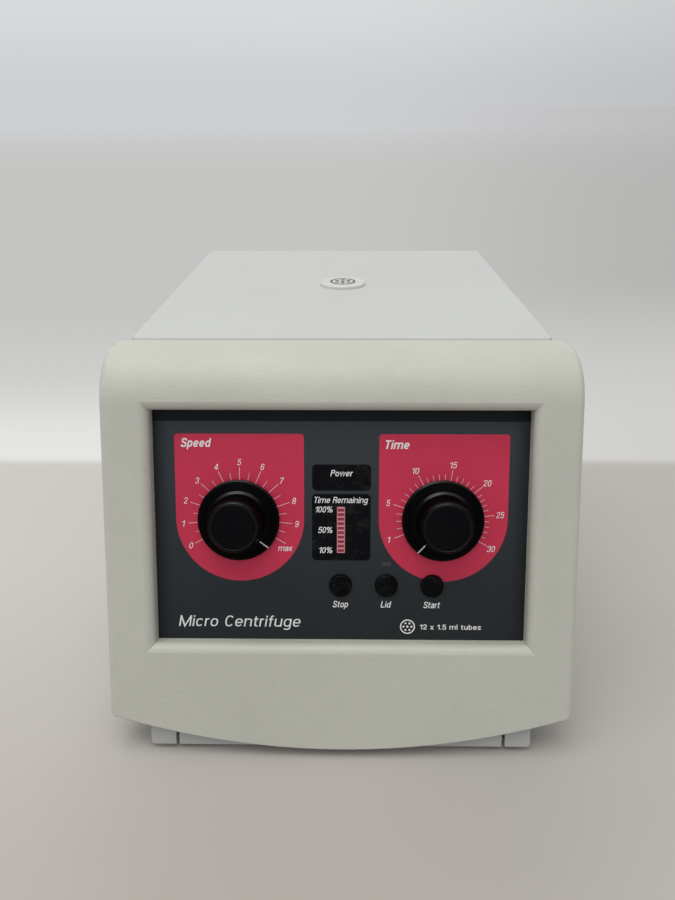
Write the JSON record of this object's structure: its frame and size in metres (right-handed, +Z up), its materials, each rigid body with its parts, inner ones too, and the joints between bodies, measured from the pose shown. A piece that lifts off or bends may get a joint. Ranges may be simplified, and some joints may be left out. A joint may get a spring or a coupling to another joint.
{
  "type": "microcentrifuge",
  "caption": "bench microcentrifuge: sloping control panel with speed and time knobs and push buttons, hinged lid over a steel chamber, and a fixed-angle tube rotor driven by a motor below",
  "frame": {"origin": "on the bench, under the middle of the machine's footprint", "axes": "+Z up, -Y is the front with the control panel, +X is to the right of someone facing the panel"},
  "size_m": [0.2252, 0.3072, 0.186],
  "materials": {
    "bezel_plastic": "fine leather-grain moulded plastic, warm light grey",
    "housing_plastic": "fine-grain moulded plastic, light grey",
    "lid_plastic": "fine-grain moulded plastic, pale cool grey",
    "panel_film": "dark slate printed film",
    "window_black": "black acrylic",
    "knob_black": "black moulded plastic, satin gloss",
    "button_black": "black moulded plastic",
    "pan_paint": "grey powder paint on folded sheet steel",
    "screw_steel": "zinc-plated steel",
    "foot_rubber": "black rubber",
    "rotor_alloy": "turned and anodised aluminium",
    "bowl_steel": "spun stainless steel",
    "motor_metal": "black enamel",
    "core_iron": "laminated iron with varnish",
    "board_green": "circuit board laminate",
    "badge_white": "pearl white moulded disc",
    "indicator_red": "translucent red plastic",
    "electric_black": "black engineering plastic",
    "brass_pins": "turned brass"
  },
  "bodies": {
    "chassis": {"bargraph_display": "indicator_red", "base_pan": "pan_paint", "board_spacers": "brass_pins", "button_switches": "electric_black", "chamber_bowl": "bowl_steel", "chamber_gasket": "foot_rubber", "control_board": "board_green", "foot_screws": "screw_steel", "front_bezel": "bezel_plastic", "fuse_holder": "electric_black", "hinge_brackets": "pan_paint", "hinge_pins": "screw_steel", "housing_cover": "housing_plastic", "housing_screws": "screw_steel", "indicator_leds": "indicator_red", "isolation_mounts": "foot_rubber", "latch_housing": "electric_black", "latch_solenoid": "motor_metal", "lid_switch": "electric_black", "mains_inlet": "electric_black", "mains_transformer": "core_iron", "motor_bearings": "screw_steel", "motor_end_cap": "motor_metal", "motor_housing": "motor_metal", "motor_plate": "pan_paint", "motor_posts": "screw_steel", "motor_stator": "core_iron", "panel_overlay": "panel_film", "panel_plate": "electric_black", "panel_screws": "screw_steel", "potentiometer_nuts": "screw_steel", "power_board": "board_green", "power_switch_frame": "electric_black", "power_window": "window_black", "rubber_feet": "foot_rubber", "shaft_grommet": "foot_rubber", "speed_potentiometer": "electric_black", "time_potentiometer": "electric_black", "time_window": "window_black"},
    "lid": {"lid_cover": "lid_plastic", "lid_liner": "housing_plastic", "lid_screws": "screw_steel", "lid_badge": "badge_white", "lid_hinge_arms": "pan_paint", "lid_striker": "screw_steel"},
    "rotor_assembly": {"rotor": "rotor_alloy", "rotor_nut": "rotor_alloy", "drive_shaft": "screw_steel", "motor_armature": "core_iron"},
    "speed_control": {"speed_knob": "knob_black", "speed_knob_cap": "knob_black", "speed_shaft": "screw_steel"},
    "time_control": {"time_knob": "knob_black", "time_knob_cap": "knob_black", "time_shaft": "screw_steel"},
    "stop_key": {"stop_button": "button_black"},
    "lid_key": {"lid_button": "button_black"},
    "start_key": {"start_button": "button_black"},
    "rear_rocker": {"power_rocker": "button_black"},
    "latch": {"latch_bolt": "screw_steel"}
  },
  "joints": [
    {"name": "lid_hinge", "type": "hinge", "parent": "chassis", "child": "lid", "pos_m": [0, 0.1454, 0.1727], "axis": [-1, 0, 0], "range_deg": [0, 80]},
    {"name": "rotor_spin", "type": "hinge", "parent": "chassis", "child": "rotor_assembly", "pos_m": [0, 0.0456, 0.1], "axis": [0, 0, 1], "continuous": true},
    {"name": "speed_knob_turn", "type": "hinge", "parent": "chassis", "child": "speed_control", "pos_m": [-0.0491, -0.10567, 0.10702], "axis": [0, -0.9364, 0.351], "range_deg": [-7, 273]},
    {"name": "time_knob_turn", "type": "hinge", "parent": "chassis", "child": "time_control", "pos_m": [0.0491, -0.10567, 0.10702], "axis": [0, -0.9364, 0.351], "range_deg": [-280, 0]},
    {"name": "stop_press", "type": "slide", "parent": "chassis", "child": "stop_key", "axis": [0, 0.9364, -0.351], "range_m": [0, 0.0012]},
    {"name": "lid_press", "type": "slide", "parent": "chassis", "child": "lid_key", "axis": [0, 0.9364, -0.351], "range_m": [0, 0.0012]},
    {"name": "start_press", "type": "slide", "parent": "chassis", "child": "start_key", "axis": [0, 0.9364, -0.351], "range_m": [0, 0.0012]},
    {"name": "power_rocker_tilt", "type": "hinge", "parent": "chassis", "child": "rear_rocker", "pos_m": [-0.02, 0.147, 0.042], "axis": [0, 0, 1], "range_deg": [-16, 0]},
    {"name": "latch_bolt_slide", "type": "slide", "parent": "chassis", "child": "latch", "axis": [-1, 0, 0], "range_m": [0, 0.008]}
  ]
}
